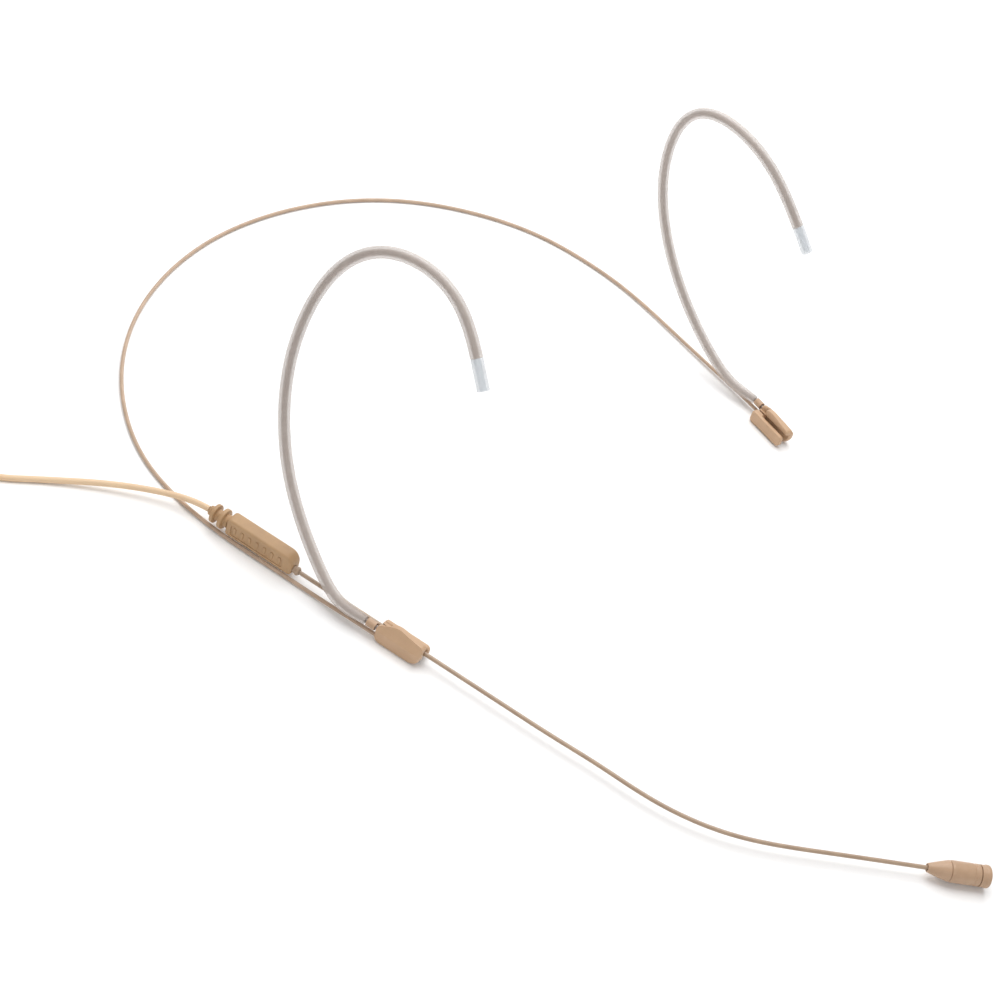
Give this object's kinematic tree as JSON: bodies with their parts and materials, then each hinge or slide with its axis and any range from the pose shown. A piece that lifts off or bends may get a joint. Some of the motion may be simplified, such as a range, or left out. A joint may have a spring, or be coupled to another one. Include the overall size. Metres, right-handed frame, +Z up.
{
  "type": "headset microphone",
  "caption": "Lightweight headset microphone: wire neckband with two clips and sleeved ear hooks, a bent mouth boom with a small capsule, an inline connector, cable and locking jack plug.",
  "frame": {"origin": "middle of the headset's box without the cable, on the plane it rests on", "axes": "+Z up; the wearer faces -Y, with their right side and the boom at -X"},
  "size_m": [0.2058, 0.226, 0.0706],
  "materials": {
    "tan_plastic": "fine matte moulding",
    "tan_wire": "thin satin coating on spring steel",
    "clear_sleeve": "translucent soft tubing",
    "tan_cable": "satin cable jacket",
    "bright_metal": "nickel plate",
    "gold_contact": "gold plate",
    "black_plastic": "matte",
    "rubber_seal": "matte"
  },
  "bodies": {
    "frame": {"neckband_wire": "tan_wire", "right_clip_body": "tan_plastic", "right_clip_leaf": "tan_plastic", "left_clip_body": "tan_plastic", "left_clip_leaf": "tan_plastic"},
    "right_hook": {"right_hook_wire": "tan_wire", "right_hook_sleeve": "clear_sleeve", "right_hook_ferrule": "bright_metal"},
    "left_hook": {"left_hook_wire": "tan_wire", "left_hook_sleeve": "clear_sleeve", "left_hook_ferrule": "bright_metal"},
    "boom_grip": {"boom_grip_sleeve": "rubber_seal"},
    "boom": {"boom_tube": "tan_wire", "boom_signal_core": "gold_contact", "capsule_cone": "tan_plastic", "capsule_body": "tan_plastic", "microphone_cartridge": "bright_metal", "cartridge_seal": "rubber_seal"},
    "capsule_cap": {"capsule_cap": "tan_plastic", "capsule_screen": "bright_metal"},
    "tail_plug": {"tail_plug_barrel": "bright_metal", "tail_plug_insulator": "black_plastic", "tail_plug_pin": "gold_contact"},
    "connector": {"connector_housing": "tan_plastic", "socket_contact": "gold_contact", "strain_relief": "tan_plastic", "cable": "tan_cable", "cable_plug_end": "tan_cable", "cable_coil": "tan_cable", "coil_tie": "black_plastic", "plug_boot": "tan_plastic", "plug_grip": "bright_metal", "plug_sleeve_contact": "gold_contact", "plug_rear_band": "black_plastic", "plug_ring_contact": "gold_contact", "plug_front_band": "black_plastic", "plug_tip_contact": "gold_contact"},
    "lock_collar": {"plug_lock_collar": "bright_metal"}
  },
  "joints": [
    {"name": "right_hook_swivel", "type": "hinge", "parent": "frame", "child": "right_hook", "pos_m": [-0.06222, 0.00021, 0.0029], "axis": [-0.2011, 0.9796, 0], "range_deg": [-25, 15]},
    {"name": "left_hook_swivel", "type": "hinge", "parent": "frame", "child": "left_hook", "pos_m": [0.06322, -0.00029, 0.0029], "axis": [0.2011, 0.9796, 0], "range_deg": [-15, 25]},
    {"name": "boom_roll", "type": "hinge", "parent": "frame", "child": "boom_grip", "pos_m": [-0.0608, 0.0005, 0.0024], "axis": [0.2011, -0.9796, 0], "range_deg": [-60, 60]},
    {"name": "boom_slide", "type": "slide", "parent": "boom_grip", "child": "boom", "axis": [0.2011, -0.9796, 0], "range_m": [-0.008, 0.0025]},
    {"name": "cap_pull", "type": "slide", "parent": "boom", "child": "capsule_cap", "axis": [0.6949, -0.7191, 0], "range_m": [0, 0.006]},
    {"name": "tail_plug_swivel", "type": "hinge", "parent": "boom", "child": "tail_plug", "pos_m": [-0.0608, 0.0005, 0.0024], "axis": [0.2011, -0.9796, 0], "range_deg": [-60, 60]},
    {"name": "connector_pull", "type": "slide", "parent": "tail_plug", "child": "connector", "axis": [-0.2011, 0.9796, 0], "range_m": [0, 0.012]},
    {"name": "collar_turn", "type": "hinge", "parent": "connector", "child": "lock_collar", "pos_m": [-0.1315, 0.0677, 0.00405], "axis": [0, -1, 0], "continuous": true}
  ],
  "couplings": [
    {"joint": "tail_plug_swivel", "follows": "boom_roll", "ratio": -1}
  ]
}
